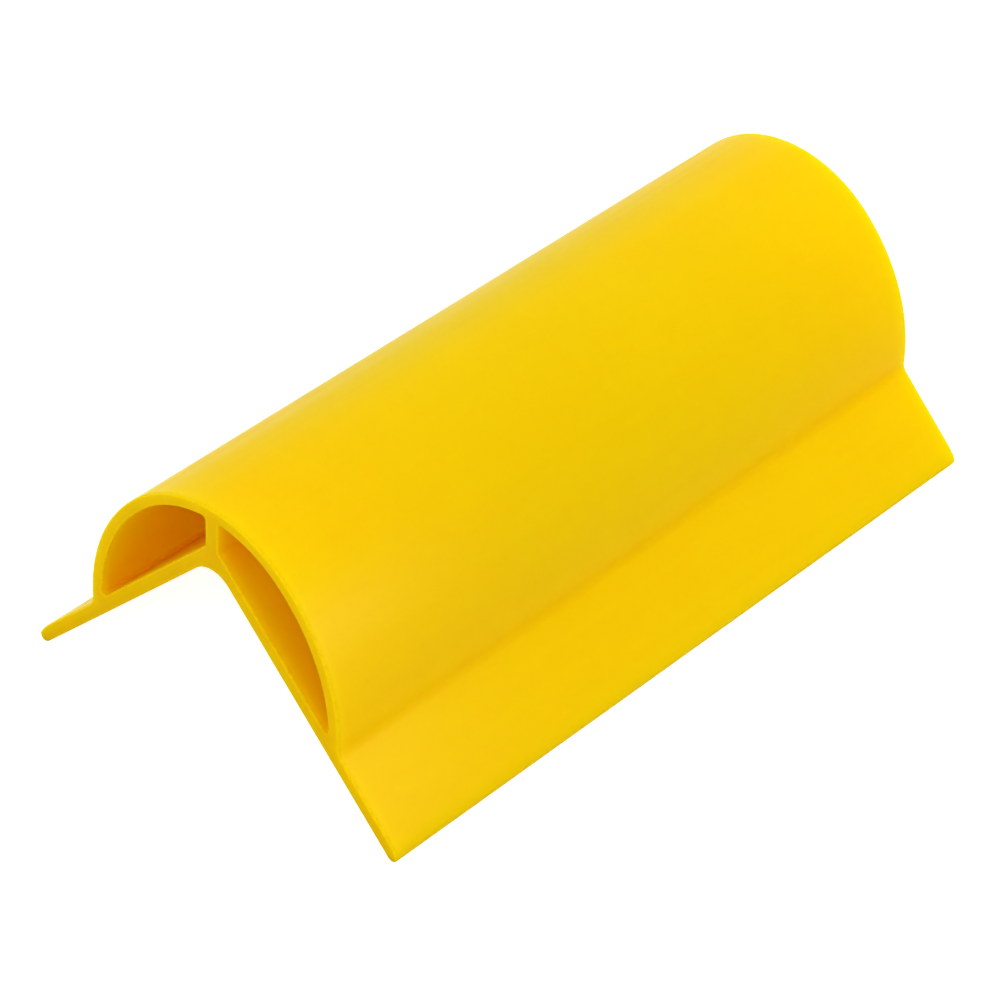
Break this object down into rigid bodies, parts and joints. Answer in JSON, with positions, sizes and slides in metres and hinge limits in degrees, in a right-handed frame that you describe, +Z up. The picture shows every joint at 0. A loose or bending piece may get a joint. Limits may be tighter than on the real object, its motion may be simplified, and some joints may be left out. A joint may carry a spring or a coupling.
{
  "type": "flexible corner guard",
  "caption": "Flexible extruded corner guard with two legs at a right angle, a domed hollow bumper and a central rib, made to cushion the square edge of a wall, post or rack.",
  "frame": {"origin": "floor plane under the middle of the guard, midway between the tips of its legs and midway along its length", "axes": "+Z up along the rib, from the inner corner to the crown; +Y along the extrusion; +X across the guard, to the right when seen from the -Y end"},
  "size_m": [0.146, 0.26, 0.0878],
  "materials": {
    "guard": "satin"
  },
  "bodies": {
    "root": {"corner_guard": "guard"}
  },
  "joints": []
}
